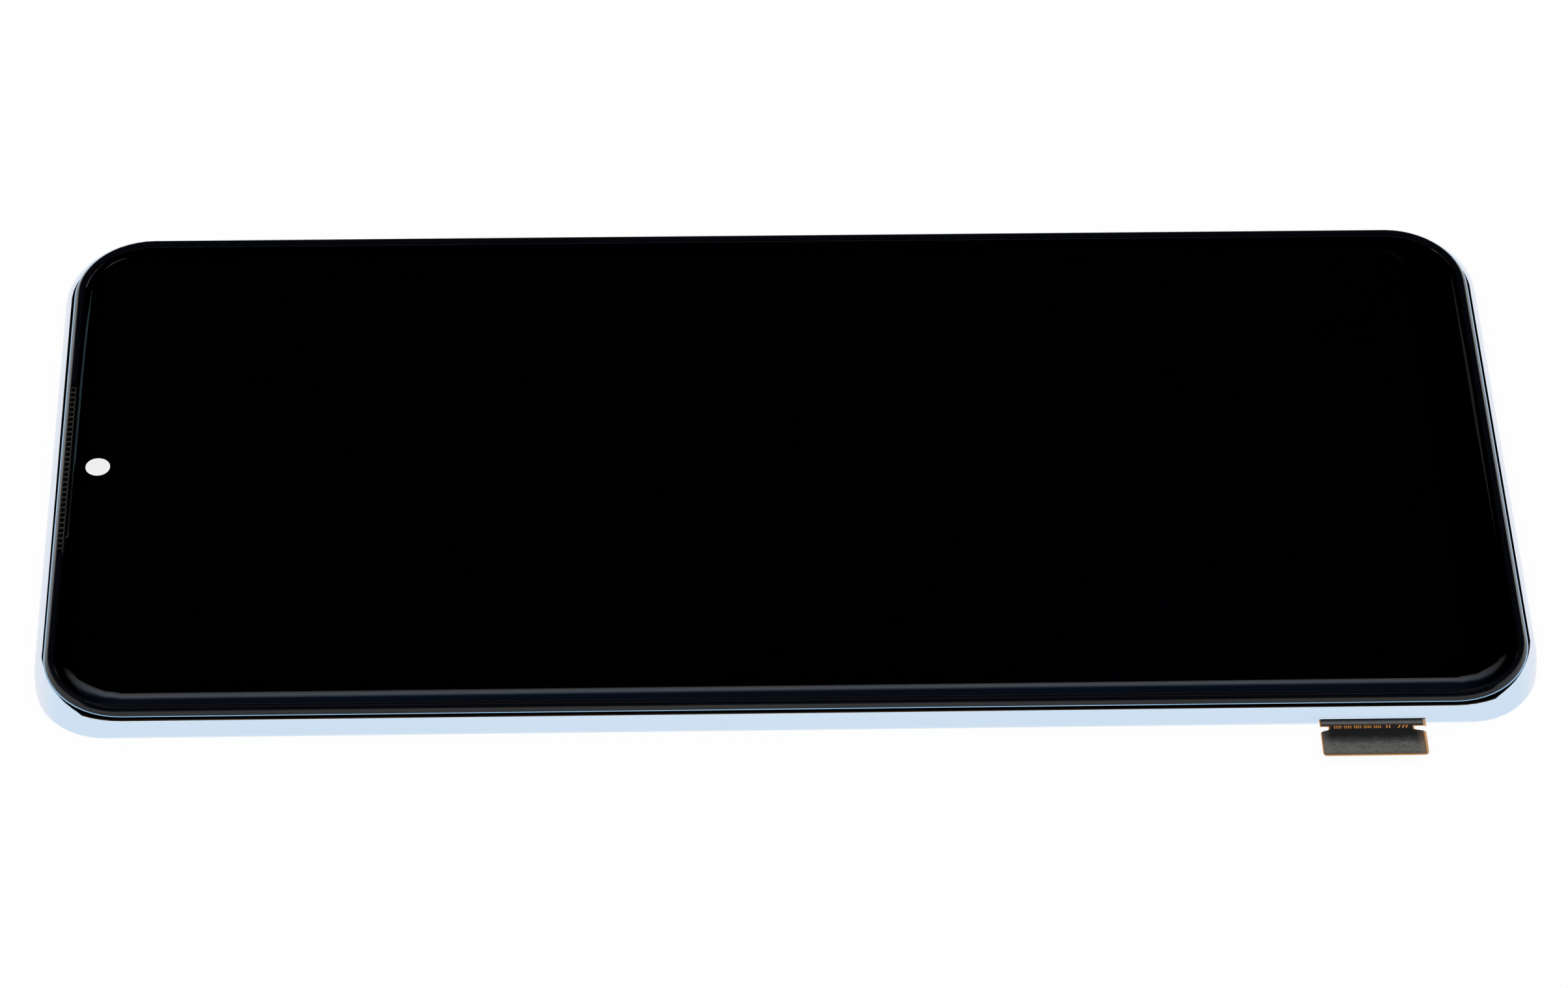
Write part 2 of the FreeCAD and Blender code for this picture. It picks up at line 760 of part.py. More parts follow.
def flexShield():
    x0 = tail_edges[0] + shield_borders[0]
    x1 = tail_edges[1] - shield_borders[1]
    box = (x0, x1, neck_start_y + 0.08, flex_window[2] - 0.3)
    return slab(box, 0, tail_top, tail_top + shield_thickness)


def headStiffener():
    return headFace(head_border, tail_top).extrude(Vector(0, 0, stiffener_thickness))


def connectorBox(growth=0.0):
    x = (head_edges[0] + head_edges[1]) / 2
    dx = connector_size[0] / 2 + growth
    dy = connector_size[1] / 2 + growth
    return (x - dx, x + dx, connector_y - dy, connector_y + dy)


def flexConnector():
    top = tail_top - flex_thickness
    bottom = top - connector_size[2]
    body = cutCornerSlab(connectorBox(), 0.2, bottom, top)
    return body.cut(slab(connectorBox(-connector_wall), 0, bottom, bottom + connector_depth))


def connectorContacts():
    width, length, height = contact_size
    top = tail_top - flex_thickness
    x = (head_edges[0] + head_edges[1]) / 2
    near = connector_y - connector_size[1] / 2 - length
    far = connector_y + connector_size[1] / 2
    contacts = []
    for y in (near, far):
        for i in range(contact_rows):
            x0 = x + (i - (contact_rows - 1) / 2) * contact_pitch - width / 2
            contacts.append(block(x0, x0 + width, y, y + length, top - height, top))
    return Part.makeCompound(contacts)


def hangingBlock(x, y, size):
    depth, length, height = size
    return block(x - depth, x, y, y + length, plate_top - height, plate_top)


def flexComponents():
    parts = [hangingBlock(component_x, -driver_size[1] / 2, driver_size)]
    for i in range(capacitors_per_side):
        y = driver_size[1] / 2 + 1.0 + capacitor_pitch * i
        parts.append(hangingBlock(component_x, y, capacitor_size))
        parts.append(hangingBlock(component_x - 0.8, -y - capacitor_size[1], capacitor_size))
    return Part.makeCompound(parts)


def filmSheet(bottom):
    return backlightSheet(film_end, film_clearance, bottom, film_thickness)


nodes = {
    "side_frame": sideFrame,
    "front_lip": frontLip,
    "earpiece_mesh": earpieceMesh,
    "cover_glass": coverGlass,
    "ink_mask": inkMask,
    "front_adhesive": frontAdhesive,
    "optical_adhesive": lambda: layer(cell_end, 0.05, ledge_height, optical_adhesive_thickness),
    "front_polarizer": lambda: layer(
        cell_end, 0.15, front_polarizer_bottom, front_polarizer_thickness, polarizer_hole_radius
    ),
    "color_filter_glass": lambda: layer(cell_end, 0.0, color_filter_bottom, cell_glass_thickness),
    "tft_glass": lambda: layer(tft_end, 0.0, tft_bottom, cell_glass_thickness),
    "driver_chip": driverChip,
    "rear_polarizer": lambda: layer(
        cell_end, 0.15, rear_polarizer_bottom, rear_polarizer_thickness, rear_hole_radius
    ),
    "rim_tape": rimTape,
    "upper_prism_film": lambda: filmSheet(upper_prism_bottom),
    "lower_prism_film": lambda: filmSheet(lower_prism_bottom),
    "diffuser_film": lambda: filmSheet(diffuser_bottom),
    "light_guide": lambda: backlightSheet(guide_end, sheet_clearance, guide_bottom, guide_thickness),
    "reflector_film": lambda: backlightSheet(
        backlight_bar_start - 0.1, sheet_clearance, reflector_bottom, reflector_thickness
    ),
    "backlight_leds": backlightLeds,
    "led_flex": ledFlex,
    "backlight_frame": backlightFrame,
    "backlight_tray": backlightTray,
    "tray_tape": trayTape,
    "mid_plate": midPlate,
    "battery_ribs": batteryRibs,
    "screw_standoffs": screwStandoffs,
    "display_flex": displayFlex,
    "flex_shield": flexShield,
    "head_stiffener": headStiffener,
    "flex_connector": flexConnector,
    "connector_contacts": connectorContacts,
    "flex_components": flexComponents,
}

for name, build in nodes.items():
    shape = build()
    shape.exportStep("parts/" + name + ".step")
    print(name, round(shape.Volume, 3), "solids", len(shape.Solids), "valid", shape.isValid())
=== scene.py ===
import json
import math

import bmesh
import bpy
from mathutils import Matrix, Vector


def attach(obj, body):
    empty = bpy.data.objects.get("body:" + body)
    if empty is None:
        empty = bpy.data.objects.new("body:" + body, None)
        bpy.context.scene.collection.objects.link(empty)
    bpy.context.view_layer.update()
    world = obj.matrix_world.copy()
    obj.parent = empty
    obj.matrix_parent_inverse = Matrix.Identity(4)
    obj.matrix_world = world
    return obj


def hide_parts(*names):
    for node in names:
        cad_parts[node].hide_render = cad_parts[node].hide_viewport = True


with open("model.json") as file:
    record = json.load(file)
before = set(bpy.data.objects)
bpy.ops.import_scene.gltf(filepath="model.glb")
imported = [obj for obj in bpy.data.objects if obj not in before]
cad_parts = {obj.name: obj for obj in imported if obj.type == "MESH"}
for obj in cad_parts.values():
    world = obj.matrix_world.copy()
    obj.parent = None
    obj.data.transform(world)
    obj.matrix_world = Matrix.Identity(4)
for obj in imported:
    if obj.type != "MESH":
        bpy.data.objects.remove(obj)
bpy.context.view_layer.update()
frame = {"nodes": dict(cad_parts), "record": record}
scene = bpy.context.scene
scene.view_settings.view_transform = "Standard"
print("frame loaded:", len(frame["nodes"]), "nodes")


# small helpers for shader trees

class Wire:
    # a socket of a node tree, so that sums on values can be written as plain expressions
    def __init__(self, tree, socket=None):
        self.tree = tree
        self.socket = socket

    def make(self, kind, settings=None, sockets=None, output=0):
        node = self.tree.nodes.new(kind)
        for key, value in (settings or {}).items():
            if key == "stops":
                setStops(node.color_ramp, value)
            else:
                setattr(node, key, value)
        for key, value in (sockets or {}).items():
            if isinstance(value, Wire):
                self.tree.links.new(value.socket, node.inputs[key])
            else:
                node.inputs[key].default_value = value
        return Wire(self.tree, node.outputs[output] if len(node.outputs) else None)

    def sum(self, operation, first, second=0.0):
        return self.make("ShaderNodeMath", {"operation": operation}, {0: first, 1: second})

    def __add__(self, other):
        return self.sum("ADD", self, other)

    def __radd__(self, other):
        return self.sum("ADD", other, self)

    def __sub__(self, other):
        return self.sum("SUBTRACT", self, other)

    def __rsub__(self, other):
        return self.sum("SUBTRACT", other, self)

    def __mul__(self, other):
        return self.sum("MULTIPLY", self, other)

    def __rmul__(self, other):
        return self.sum("MULTIPLY", other, self)

    def __truediv__(self, other):
        return self.sum("DIVIDE", self, other)

    def __abs__(self):
        return self.sum("ABSOLUTE", self)

    def atLeast(self, other):
        return self.sum("MAXIMUM", self, other)

    def atMost(self, other):
        return self.sum("MINIMUM", self, other)

    def above(self, other):
        return self.sum("GREATER_THAN", self, other)

    def below(self, other):
        return self.sum("LESS_THAN", self, other)


def setStops(ramp, stops):
    while len(ramp.elements) > 1:
        ramp.elements.remove(ramp.elements[0])
    for index, (spot, colour) in enumerate(stops):
        stop = ramp.elements[0] if index == 0 else ramp.elements.new(spot)
        stop.position = spot
        stop.color = (*colour, 1.0)


def startFinish(name):
    material = bpy.data.materials.new(name)
    material.use_nodes = True
    material.node_tree.nodes.clear()
    return material, Wire(material.node_tree)


def endFinish(start, surface):
    start.make("ShaderNodeOutputMaterial", {}, {"Surface": surface})


def place(start):
    return start.make("ShaderNodeTexCoord", {}, {}, "Object")


def axes(start):
    split = start.make("ShaderNodeSeparateXYZ", {}, {0: place(start)})
    return [Wire(start.tree, out) for out in split.socket.node.outputs]


def stretched(start, scale, turn=(0.0, 0.0, 0.0)):
    return start.make("ShaderNodeMapping", {}, {"Vector": place(start), "Scale": scale, "Rotation": turn})


def noise(start, size, detail=3.0, roughness=0.55, vector=None):
    return start.make("ShaderNodeTexNoise", {}, {
        "Vector": vector or place(start), "Scale": 1.0 / size, "Detail": detail, "Roughness": roughness,
    })


def opaque(colour):
    # a plain colour with its alpha, and a wire as it is
    return (*colour, 1.0) if isinstance(colour, tuple) else colour


def shade(start, factor, dark, light):
    sockets = {0: factor, 6: opaque(dark), 7: opaque(light)}   # 6 and 7 are the colours of an RGBA mix
    return start.make("ShaderNodeMix", {"data_type": "RGBA", "clamp_factor": True}, sockets, 2)


def bump(start, height, depth):
    return start.make("ShaderNodeBump", {}, {"Height": height, "Distance": depth, "Strength": 1.0})


def toned(start, share, tones):
    return start.make("ShaderNodeValToRGB", {"stops": tones}, {0: share})


def ramped(value, low, high):
    # 0 at the first limit, 1 at the second, and held at those beyond them
    return ((value - low) / (high - low)).atLeast(0.0).atMost(1.0)


def between(pair, share):
    # for numbers and for wires
    return pair[0] + (pair[1] - pair[0]) * share


def mixed(start, share, first, second):
    return start.make("ShaderNodeMixShader", {}, {0: share, 1: first, 2: second})


def principled(start, colour, roughness, **others):
    names = {
        "metallic": "Metallic", "normal": "Normal", "alpha": "Alpha", "ior": "IOR",
        "transmission": "Transmission Weight", "specular": "Specular IOR Level",
    }
    sockets = {"Base Color": opaque(colour), "Roughness": roughness}
    for key, value in others.items():
        sockets[names[key]] = value
    return start.make("ShaderNodeBsdfPrincipled", {}, sockets)


# camera

cameraView = {
    "target": (0.000315, -0.002092, 0.0),
    "distance": 0.6136,
    "elevation": 45.802,
    "azimuth": 2.684,
    "roll": 1.320,
    "lens": 125.04,
    "sensorWidth": 36.0,
    "clip": (0.01, 50.0),
}


def placeCamera(view):
    elevation, azimuth, roll = (math.radians(view[key]) for key in ("elevation", "azimuth", "roll"))
    back = Vector((
        -math.sin(azimuth) * math.cos(elevation),
        -math.cos(azimuth) * math.cos(elevation),
        math.sin(elevation),
    ))
    right = (-back).cross(Vector((0, 0, 1))).normalized()
    up = right.cross(-back)
    tiltedRight = right * math.cos(roll) + up * math.sin(roll)
    tiltedUp = up * math.cos(roll) - right * math.sin(roll)
    data = bpy.data.cameras.new("photoCamera")
    data.lens = view["lens"]
    data.sensor_width = view["sensorWidth"]
    data.clip_start, data.clip_end = view["clip"]
    camera = bpy.data.objects.new("photoCamera", data)
    scene.collection.objects.link(camera)
    turn = Matrix((tiltedRight, tiltedUp, back)).transposed().to_4x4()
    camera.matrix_world = Matrix.Translation(Vector(view["target"]) + back * view["distance"]) @ turn
    scene.camera = camera


placeCamera(cameraView)
print("camera placed")


# floor, cards and lamps

studio = {
    "floorHalf": 6.0,
    "floorHeight": -0.00002,
    "floorColour": (0.93, 0.93, 0.94),
    "floorShare": 0.94,          # how much of the floor's white doesn't depend on the lamps
    "ambient": 0.55,             # the world's strength for matt surfaces
    "cardRadius": 3.0,           # of the curved cards over the object
    "cardSteps": 12,
    "darkReach": (-2.85, 3.4),
    "darkSpan": (50.0, 168.0),   # from the near side over the top, in degrees of elevation
    "darkTones": [(0.00, (0.12, 0.055, 0.025)), (0.064, (0.02, 0.01, 0.006)), (0.11, (0.0, 0.0, 0.0))],
    "backSpan": (168.0, 179.95),
    "backReach": (-1.2, 1.2),
    "backTones": [(0.00, (0.0, 0.0, 0.0)), (0.25, (0.0, 0.0, 0.0)), (1.00, (0.025, 0.03, 0.15))],
    "stripRadius": 2.7,
    "stripSpan": (88.0, 128.0),
    "stripReach": (-1.5, 1.5),
    "stripFade": (0.45, 1.5),    # from the middle, where the strip's light falls off
    "stripStrength": 1.5,
    "stripTones": [              # across the strip, from its near edge
        (0.00, (0.03, 0.06, 0.12)), (0.32, (0.04, 0.07, 0.14)), (0.44, (0.22, 0.30, 0.42)),
        (0.60, (0.80, 1.00, 1.30)), (0.78, (0.75, 0.86, 1.00)), (0.92, (0.55, 0.52, 0.50)),
        (1.00, (0.0, 0.0, 0.0)),
    ],
    "sideRadius": 2.4,
    "sideSize": (0.30, 0.10),
    "leftCard": {"bearing": -32.8, "height": 33.8, "tilt": 40.0, "glow": (0.26, 0.47, 0.54)},
    "rightCard": {"bearing": 36.1, "height": 31.4, "tilt": -40.0, "glow": (0.20, 0.20, 0.20)},
    "keyPower": 26.0,
    "keySize": 1.6,
    "keyPlace": (-0.9, -1.4, 1.9),
    "fillPower": 12.0,
    "fillSize": 1.8,
    "fillPlace": (1.3, 0.9, 1.8),
}


def seenWhite(start):
    # 1 on rays that come straight from the camera, a mirror or clear glass
    path = start.make("ShaderNodeLightPath")
    outs = {out.name: Wire(start.tree, out) for out in path.socket.node.outputs}
    seen = outs["Is Camera Ray"] + outs["Is Glossy Ray"] + outs["Is Transmission Ray"]
    return seen.atMost(1.0)


def paleFloor(values):
    half, height = values["floorHalf"], values["floorHeight"]
    data = bpy.data.meshes.new("floor")
    corners = [(-half, -half, height), (half, -half, height), (half, half, height), (-half, half, height)]
    data.from_pydata(corners, [], [(0, 1, 2, 3)])
    floor = bpy.data.objects.new("floor", data)
    scene.collection.objects.link(floor)
    material, start = startFinish("paleFloor")
    matt = start.make("ShaderNodeBsdfDiffuse", {}, {"Color": (*values["floorColour"], 1.0)})
    glow = start.make("ShaderNodeEmission", {}, {"Color": (1, 1, 1, 1), "Strength": 1.0})
    share = seenWhite(start) * values["floorShare"]
    endFinish(start, mixed(start, share, matt, glow))
    data.materials.append(material)


def paleWorld(values):
    world = bpy.data.worlds.new("paleWorld")
    world.use_nodes = True
    world.node_tree.nodes.clear()
    start = Wire(world.node_tree)
    seen = seenWhite(start)
    strength = seen + (1.0 - seen) * values["ambient"]
    glow = start.make("ShaderNodeBackground", {}, {"Color": (1, 1, 1, 1), "Strength": strength})
    start.make("ShaderNodeOutputWorld", {}, {"Surface": glow})
    scene.world = world


def curvedCard(name, span, reach, radius, steps, surface):
    # a curved card over the object that only mirrors and clear glass see
    low, high = (math.radians(angle) for angle in span)
    points = []
    for index in range(steps + 1):
        angle = low + (high - low) * index / steps
        y, z = -radius * math.cos(angle), radius * math.sin(angle)
        points += [(reach[0], y, z), (reach[1], y, z)]
    faces = [(2 * i, 2 * i + 1, 2 * i + 3, 2 * i + 2) for i in range(steps)]
    hangCard(name, points, faces, surface)


def sideCard(name, card, size, distance):
    # a narrow leaning card that faces the object from beyond a far corner
    bearing, height, tilt = (math.radians(card[key]) for key in ("bearing", "height", "tilt"))
    flat = Vector((math.sin(bearing), math.cos(bearing), 0.0))
    away = flat * math.cos(height) + Vector((0.0, 0.0, math.sin(height)))
    level = Vector((flat.y, -flat.x, 0.0))
    rise = level.cross(away)
    along = (level * math.cos(tilt) + rise * math.sin(tilt)) * size[0] / 2
    across = (rise * math.cos(tilt) - level * math.sin(tilt)) * size[1] / 2
    points = [away * distance + along * a + across * b for a, b in ((-1, -1), (1, -1), (1, 1), (-1, 1))]
    hangCard(name, points, [(0, 1, 2, 3)], evenGlow(name, card["glow"]))


def hangCard(name, points, faces, surface):
    data = bpy.data.meshes.new(name)
    data.from_pydata(points, [], faces)
    card = bpy.data.objects.new(name, data)
    scene.collection.objects.link(card)
    data.materials.append(surface)
    card.visible_camera = False
    card.visible_diffuse = False
    card.visible_shadow = False


def endGlow(start, colour, strength=1.0):
    # the card's own light for mirrors and glass, and no card for light that falls on matt surfaces
    path = start.make("ShaderNodeLightPath")
    matt = Wire(start.tree, path.socket.node.outputs["Diffuse Depth"]).above(0.5)
    glow = start.make("ShaderNodeEmission", {}, {"Color": colour, "Strength": strength})
    endFinish(start, mixed(start, matt, glow, start.make("ShaderNodeBsdfTransparent")))


def evenGlow(name, colour):
    material, start = startFinish(name)
    endGlow(start, (*colour, 1.0))
    return material


def tonedGlow(name, span, tones, strength=1.0, fade=None):
    # tones across the card's width, and a fade towards its ends
    material, start = startFinish(name)
    x, y, z = axes(start)
    low, high = (math.radians(limit) for limit in span)
    across = (start.sum("ARCTAN2", z, 0.0 - y) - low) / (high - low)
    tone = toned(start, across, tones)
    if fade:
        strength = ramped(abs(x), fade[1], fade[0]) * strength
    endGlow(start, tone, strength)
    return material


def softLamp(name, power, size, spot):
    data = bpy.data.lights.new(name, "AREA")
    data.shape = "DISK"
    data.size = size
    data.energy = power
    lamp = bpy.data.objects.new(name, data)
    scene.collection.objects.link(lamp)
    lamp.location = spot
    lamp.rotation_euler = (-Vector(spot)).to_track_quat("-Z", "Y").to_euler()
    lamp.visible_glossy = False


paleFloor(studio)
paleWorld(studio)
cardRadius, cardSteps = studio["cardRadius"], studio["cardSteps"]
for card in ("dark", "back"):
    span, reach = studio[card + "Span"], studio[card + "Reach"]
    cardGlow = tonedGlow(card + "Card", span, studio[card + "Tones"])
    curvedCard(card + "Card", span, reach, cardRadius, cardSteps, cardGlow)
stripSpan, stripReach = studio["stripSpan"], studio["stripReach"]
stripLight = (studio["stripTones"], studio["stripStrength"], studio["stripFade"])
stripGlow = tonedGlow("brightStrip", stripSpan, *stripLight)
curvedCard("brightStrip", stripSpan, stripReach, studio["stripRadius"], cardSteps, stripGlow)
for side in ("leftCard", "rightCard"):
    sideCard(side, studio[side], studio["sideSize"], studio["sideRadius"])
softLamp("keyLamp", studio["keyPower"], studio["keySize"], studio["keyPlace"])
softLamp("fillLamp", studio["fillPower"], studio["fillSize"], studio["fillPlace"])
print("studio placed")


# finishes

body = {
    "halfLength": 0.082,
    "halfWidth": 0.03825,
    "corner": 0.010,
    "rimInset": 0.00195,
}


def insetOf(start, values):
    # distance inwards from the widest line of the rounded frame
    x, y, z = axes(start)
    outX = abs(x) - (values["halfLength"] - values["corner"])
    outY = abs(y) - (values["halfWidth"] - values["corner"])
    pastX, pastY = outX.atLeast(0.0), outY.atLeast(0.0)
    reach = start.sum("SQRT", pastX * pastX + pastY * pastY)
    return values["corner"] - reach - outX.atLeast(outY).atMost(0.0)


iceBlue = {
    "colour": (0.635, 0.760, 0.890),
    "deeper": (0.600, 0.735, 0.875),
    "milled": (0.42, 0.43, 0.44),
    "roughness": 0.045,
    "endSheenColour": (0.745, 0.795, 0.885),
    "ends": (0.0790, 0.0812),    # from the middle, where the painted paler sheen of the end walls sets in, standing in for their grazing reflection
    "riserFoot": 0.00284,
    "riserColour": (0.26, 0.42, 0.60),
    "ledge": 0.0014,             # the frame is black inside above this height
    "ledgeColour": (0.004, 0.004, 0.005),
    "cloudSize": 0.012,
    "cloudRoughness": 0.02,
    "orangePeel": 0.0009,
    "peelDepth": 0.0000006,
    "millPitch": 0.00035,
    "millStretch": 60.0,
    "milledRoughness": (0.22, 0.32),
    "milledRelief": 2.0,         # the mill lines' depth, in peel depths
    "milledShade": 0.8,
}


def iceBlueMetal(values):
    material, start = startFinish("iceBlueMetal")
    inner = insetOf(start, body).above(body["rimInset"])
    x, y, z = axes(start)
    ledge = inner * z.above(values["ledge"])
    paintedEndSheen = ramped(abs(x), *values["ends"])
    cloud = noise(start, values["cloudSize"])
    skin = shade(start, cloud, values["deeper"], values["colour"])
    # painted sheen: the end walls turn paler and more lavender, standing in for their grazing reflection
    skin = shade(start, paintedEndSheen, skin, values["endSheenColour"])
    skin = shade(start, z.above(values["riserFoot"]), skin, values["riserColour"])
    stretch = (values["millStretch"], 1.0 / values["millPitch"], values["millStretch"])
    lines = noise(start, 1.0, 2.0, 0.6, stretched(start, stretch))
    darker = tuple(values["milledShade"] * part for part in values["milled"])
    raw = shade(start, lines, darker, values["milled"])
    colour = shade(start, ledge, shade(start, inner, skin, raw), values["ledgeColour"])
    peel = noise(start, values["orangePeel"], 1.0)
    polished = values["roughness"] + values["cloudRoughness"] * cloud
    roughness = polished + inner * between(values["milledRoughness"], lines)
    height = peel * (1.0 - inner) + lines * inner * values["milledRelief"]
    normal = bump(start, height, values["peelDepth"])
    endFinish(start, principled(start, colour, roughness, metallic=1.0, normal=normal))
    return material


glossBlack = {
    "colour": (0.0008, 0.0011, 0.0024),
    "dust": (0.0028, 0.0033, 0.0050),
    "dustSize": 0.0025,
    "roughness": (0.11, 0.16),
    "grain": 0.0004,
    "grainDepth": 0.0000004,
    "gloss": 0.40,
    "crownGloss": 0.06,          # the lip's top is duller
    "crown": (0.00347, 0.00349), # heights between which it turns dull
}


def glossBlackPlastic(values):
    material, start = startFinish("glossBlackPlastic")
    dust = noise(start, values["dustSize"], 4.0, 0.65)
    colour = shade(start, dust, values["colour"], values["dust"])
    x, y, z = axes(start)
    roughness = between(values["roughness"], dust)
    normal = bump(start, noise(start, values["grain"], 2.0), values["grainDepth"])
    shiny = principled(start, colour, roughness, normal=normal, specular=values["gloss"])
    dull = principled(start, colour, roughness, normal=normal, specular=values["crownGloss"])
    endFinish(start, mixed(start, ramped(z, *values["crown"]), shiny, dull))
    return material


screenGlass = {
    "colour": (1.0, 1.0, 1.0),
    "ior": 1.51,
    "smeared": (0.975, 0.985, 0.985),
    "smearSize": 0.03,
    "smearSpan": (0.55, 0.80),   # levels of the noise between which the smear sets in
    "smearTurn": 0.5,
    "edgeInset": 0.00237,        # the glass is black along its edge, as far in and as high as this
    "edgeTop": 0.00341,
    "edgeColour": (0.0006, 0.0006, 0.0010),
    "edgeRoughness": 0.6,
}


def clearGlass(values):
    material, start = startFinish("coverGlass")
    smeared = stretched(start, (1.0, 3.0, 1.0), (0.0, 0.0, values["smearTurn"]))
    smear = noise(start, values["smearSize"], 3.0, 0.6, smeared)
    colour = shade(start, ramped(smear, *values["smearSpan"]), values["colour"], values["smeared"])
    x, y, z = axes(start)
    edge = (1.0 - insetOf(start, body).above(values["edgeInset"])) * z.below(values["edgeTop"])
    clear = principled(start, colour, 0.0, transmission=1.0, ior=values["ior"])
    black = principled(start, values["edgeColour"], values["edgeRoughness"], specular=0.0)
    endFinish(start, mixed(start, edge, clear, black))
    return material


clearLayer = {
    "colour": (0.96, 0.98, 0.98),
    "hazy": (0.90, 0.94, 0.94),
    "hazeSize": 0.006,
    "roughness": (0.05, 0.11),
    "alpha": 0.0001,
}


def clearFilm(name, values):
    # a clear sheet inside the bonded stack, where nothing bends the light
    material, start = startFinish(name)
    haze = noise(start, values["hazeSize"], 3.0)
    colour = shade(start, haze, values["colour"], values["hazy"])
    roughness = between(values["roughness"], haze)
    endFinish(start, principled(start, colour, roughness, alpha=values["alpha"], specular=0.0))
    return material


cameraWell = {"x": -0.0766, "radius": 0.00235, "polish": 0.03}


def inWell(start, values):
    # 1 on the walls round the camera's barrel, which are polished
    x, y, z = axes(start)
    aside = x - values["x"]
    return start.sum("SQRT", aside * aside + y * y).below(values["radius"])


grainMix = {
    "broad": 14.0,               # the broad grain's size, in fine grains
    "fineShare": 0.65,
}


def grainFinish(name, dark, light, grain, roughness, depth=0.0, metallic=0.0, stretch=(1.0, 1.0, 1.0),
                gloss=0.5, well=None):
    # one worn, speckled or brushed finish: two tones of a grain, with its roughness and relief
    material, start = startFinish(name)
    fine = noise(start, grain, 4.0, 0.62, stretched(start, stretch))
    broad = noise(start, grain * grainMix["broad"], 2.0)
    tone = fine * grainMix["fineShare"] + broad * (1.0 - grainMix["fineShare"])
    sockets = {"metallic": metallic, "specular": gloss}
    if depth:
        sockets["normal"] = bump(start, fine, depth)
    colour = shade(start, tone, dark, light)
    level = between(roughness, tone)
    if well:
        polished = inWell(start, well)
        level = level * (1.0 - polished) + well["polish"] * polished
        colour = shade(start, polished, colour, (1.0, 1.0, 1.0))
        sockets["metallic"] = polished.atLeast(metallic)
    endFinish(start, principled(start, colour, level, **sockets))
    return material


stiffenerFilm = {
    "dark": (0.0030, 0.0026, 0.0024),
    "light": (0.118, 0.116, 0.108),
    "warm": (0.190, 0.125, 0.075),
    "nearEdge": -0.0393,
    "farEdge": -0.0429,
    "leftEdge": 0.05734,
    "rightEdge": 0.06828,
    "leftFade": 0.0009,
    "rightFade": 0.0008,
    "grain": 0.00009,
    "stretch": 0.28,             # the grain runs along the head
    "contrast": 4.0,
    "faintest": 0.15,
    "patchSize": 0.0011,
    "wander": 0.22,              # how far the tones across stray from straight lines
    "gain": 0.92,
    "leftGain": 0.35,
    "warmGain": (0.245, 0.70),   # at the frame and at the outer edge
    "roughness": (0.55, 0.75),
    "gloss": 0.2,
    "relief": 0.00001,
    "tones": [                   # painted shade, darkest at the frame and lighter outwards
        (0.0, (0.02, 0.02, 0.02)), (0.30, (0.04, 0.04, 0.04)), (0.50, (0.34, 0.34, 0.34)),
        (0.62, (0.80, 0.80, 0.80)), (0.90, (1.0, 1.0, 1.0)), (1.0, (0.7, 0.7, 0.7)),
    ],
}


def stiffenerPaintedShade(values):
    # painted shade: darker towards the frame and lighter outwards, standing in for the wall's shade, with
    # streaks across, and warmer where it thins out at its right end
    material, start = startFinish("stiffenerPaintedShade")
    x, y, z = axes(start)
    share = ramped(y, values["nearEdge"], values["farEdge"])
    streak = noise(start, values["grain"], 4.0, 0.75, stretched(start, (values["stretch"], 1.0, 1.0)))
    patch = noise(start, values["patchSize"], 2.0)
    across = share + values["wander"] * (patch - 0.5)
    fromLeft = (1.0 - (x - values["leftEdge"]) / values["leftFade"]).atLeast(0.0)
    streaky = (1.0 + values["contrast"] * (streak - 0.5)).atLeast(values["faintest"])
    # painted shade: the tones across the head darken towards the frame
    tone = toned(start, across, values["tones"]) * values["gain"]
    tone = (tone + values["leftGain"] * fromLeft) * streaky
    fromRight = (1.0 - (values["rightEdge"] - x) / values["rightFade"]).atLeast(0.0)
    colour = shade(start, tone, values["dark"], values["light"])
    colour = shade(start, fromRight * between(values["warmGain"], share), colour, values["warm"])
    roughness = between(values["roughness"], streak)
    normal = bump(start, streak, values["relief"])
    endFinish(start, principled(start, colour, roughness, normal=normal, specular=values["gloss"]))
    return material


tailFilm = {
    "dark": (0.0022, 0.0022, 0.0024),
    "light": (0.150, 0.150, 0.144),
    "red": (0.060, 0.018, 0.010),
    "lightFrom": -0.03805,
    "lightTo": -0.03872,
    "redSpan": (0.92, 1.12),     # shares of the same way, between which the red edge sets in
    "grain": 0.00016,
    "stretch": 0.2,
    "grainGain": (0.35, 1.45),
    "roughness": (0.38, 0.58),
    "gloss": 0.25,
    "relief": 0.000006,
    "paintedHighlightBand": [
        (0.0, (0.0, 0.0, 0.0)), (0.26, (0.40, 0.40, 0.40)), (0.58, (1.0, 1.0, 1.0)),
        (0.80, (0.70, 0.70, 0.70)), (0.97, (0.03, 0.03, 0.03)),
    ],
}


def tailShieldPaintedHighlight(values):
    # black film on the tail, with a painted highlight: a paler band standing in for the light on the bend
    # where the tail starts to turn down
    material, start = startFinish("tailShieldPaintedHighlight")
    x, y, z = axes(start)
    grain = noise(start, values["grain"], 3.0, 0.6, stretched(start, (values["stretch"], 1.0, 1.0)))
    across = (y - values["lightFrom"]) / (values["lightTo"] - values["lightFrom"])
    # painted highlight: the paler band across the tail, from lightFrom to lightTo
    paintedHighlightBand = toned(start, across, values["paintedHighlightBand"]) * between(values["grainGain"], grain)
    colour = shade(start, paintedHighlightBand, values["dark"], values["light"])
    colour = shade(start, ramped(across, *values["redSpan"]), colour, values["red"])
    roughness = between(values["roughness"], grain)
    normal = bump(start, grain, values["relief"])
    endFinish(start, principled(start, colour, roughness, normal=normal, specular=values["gloss"]))
    return material


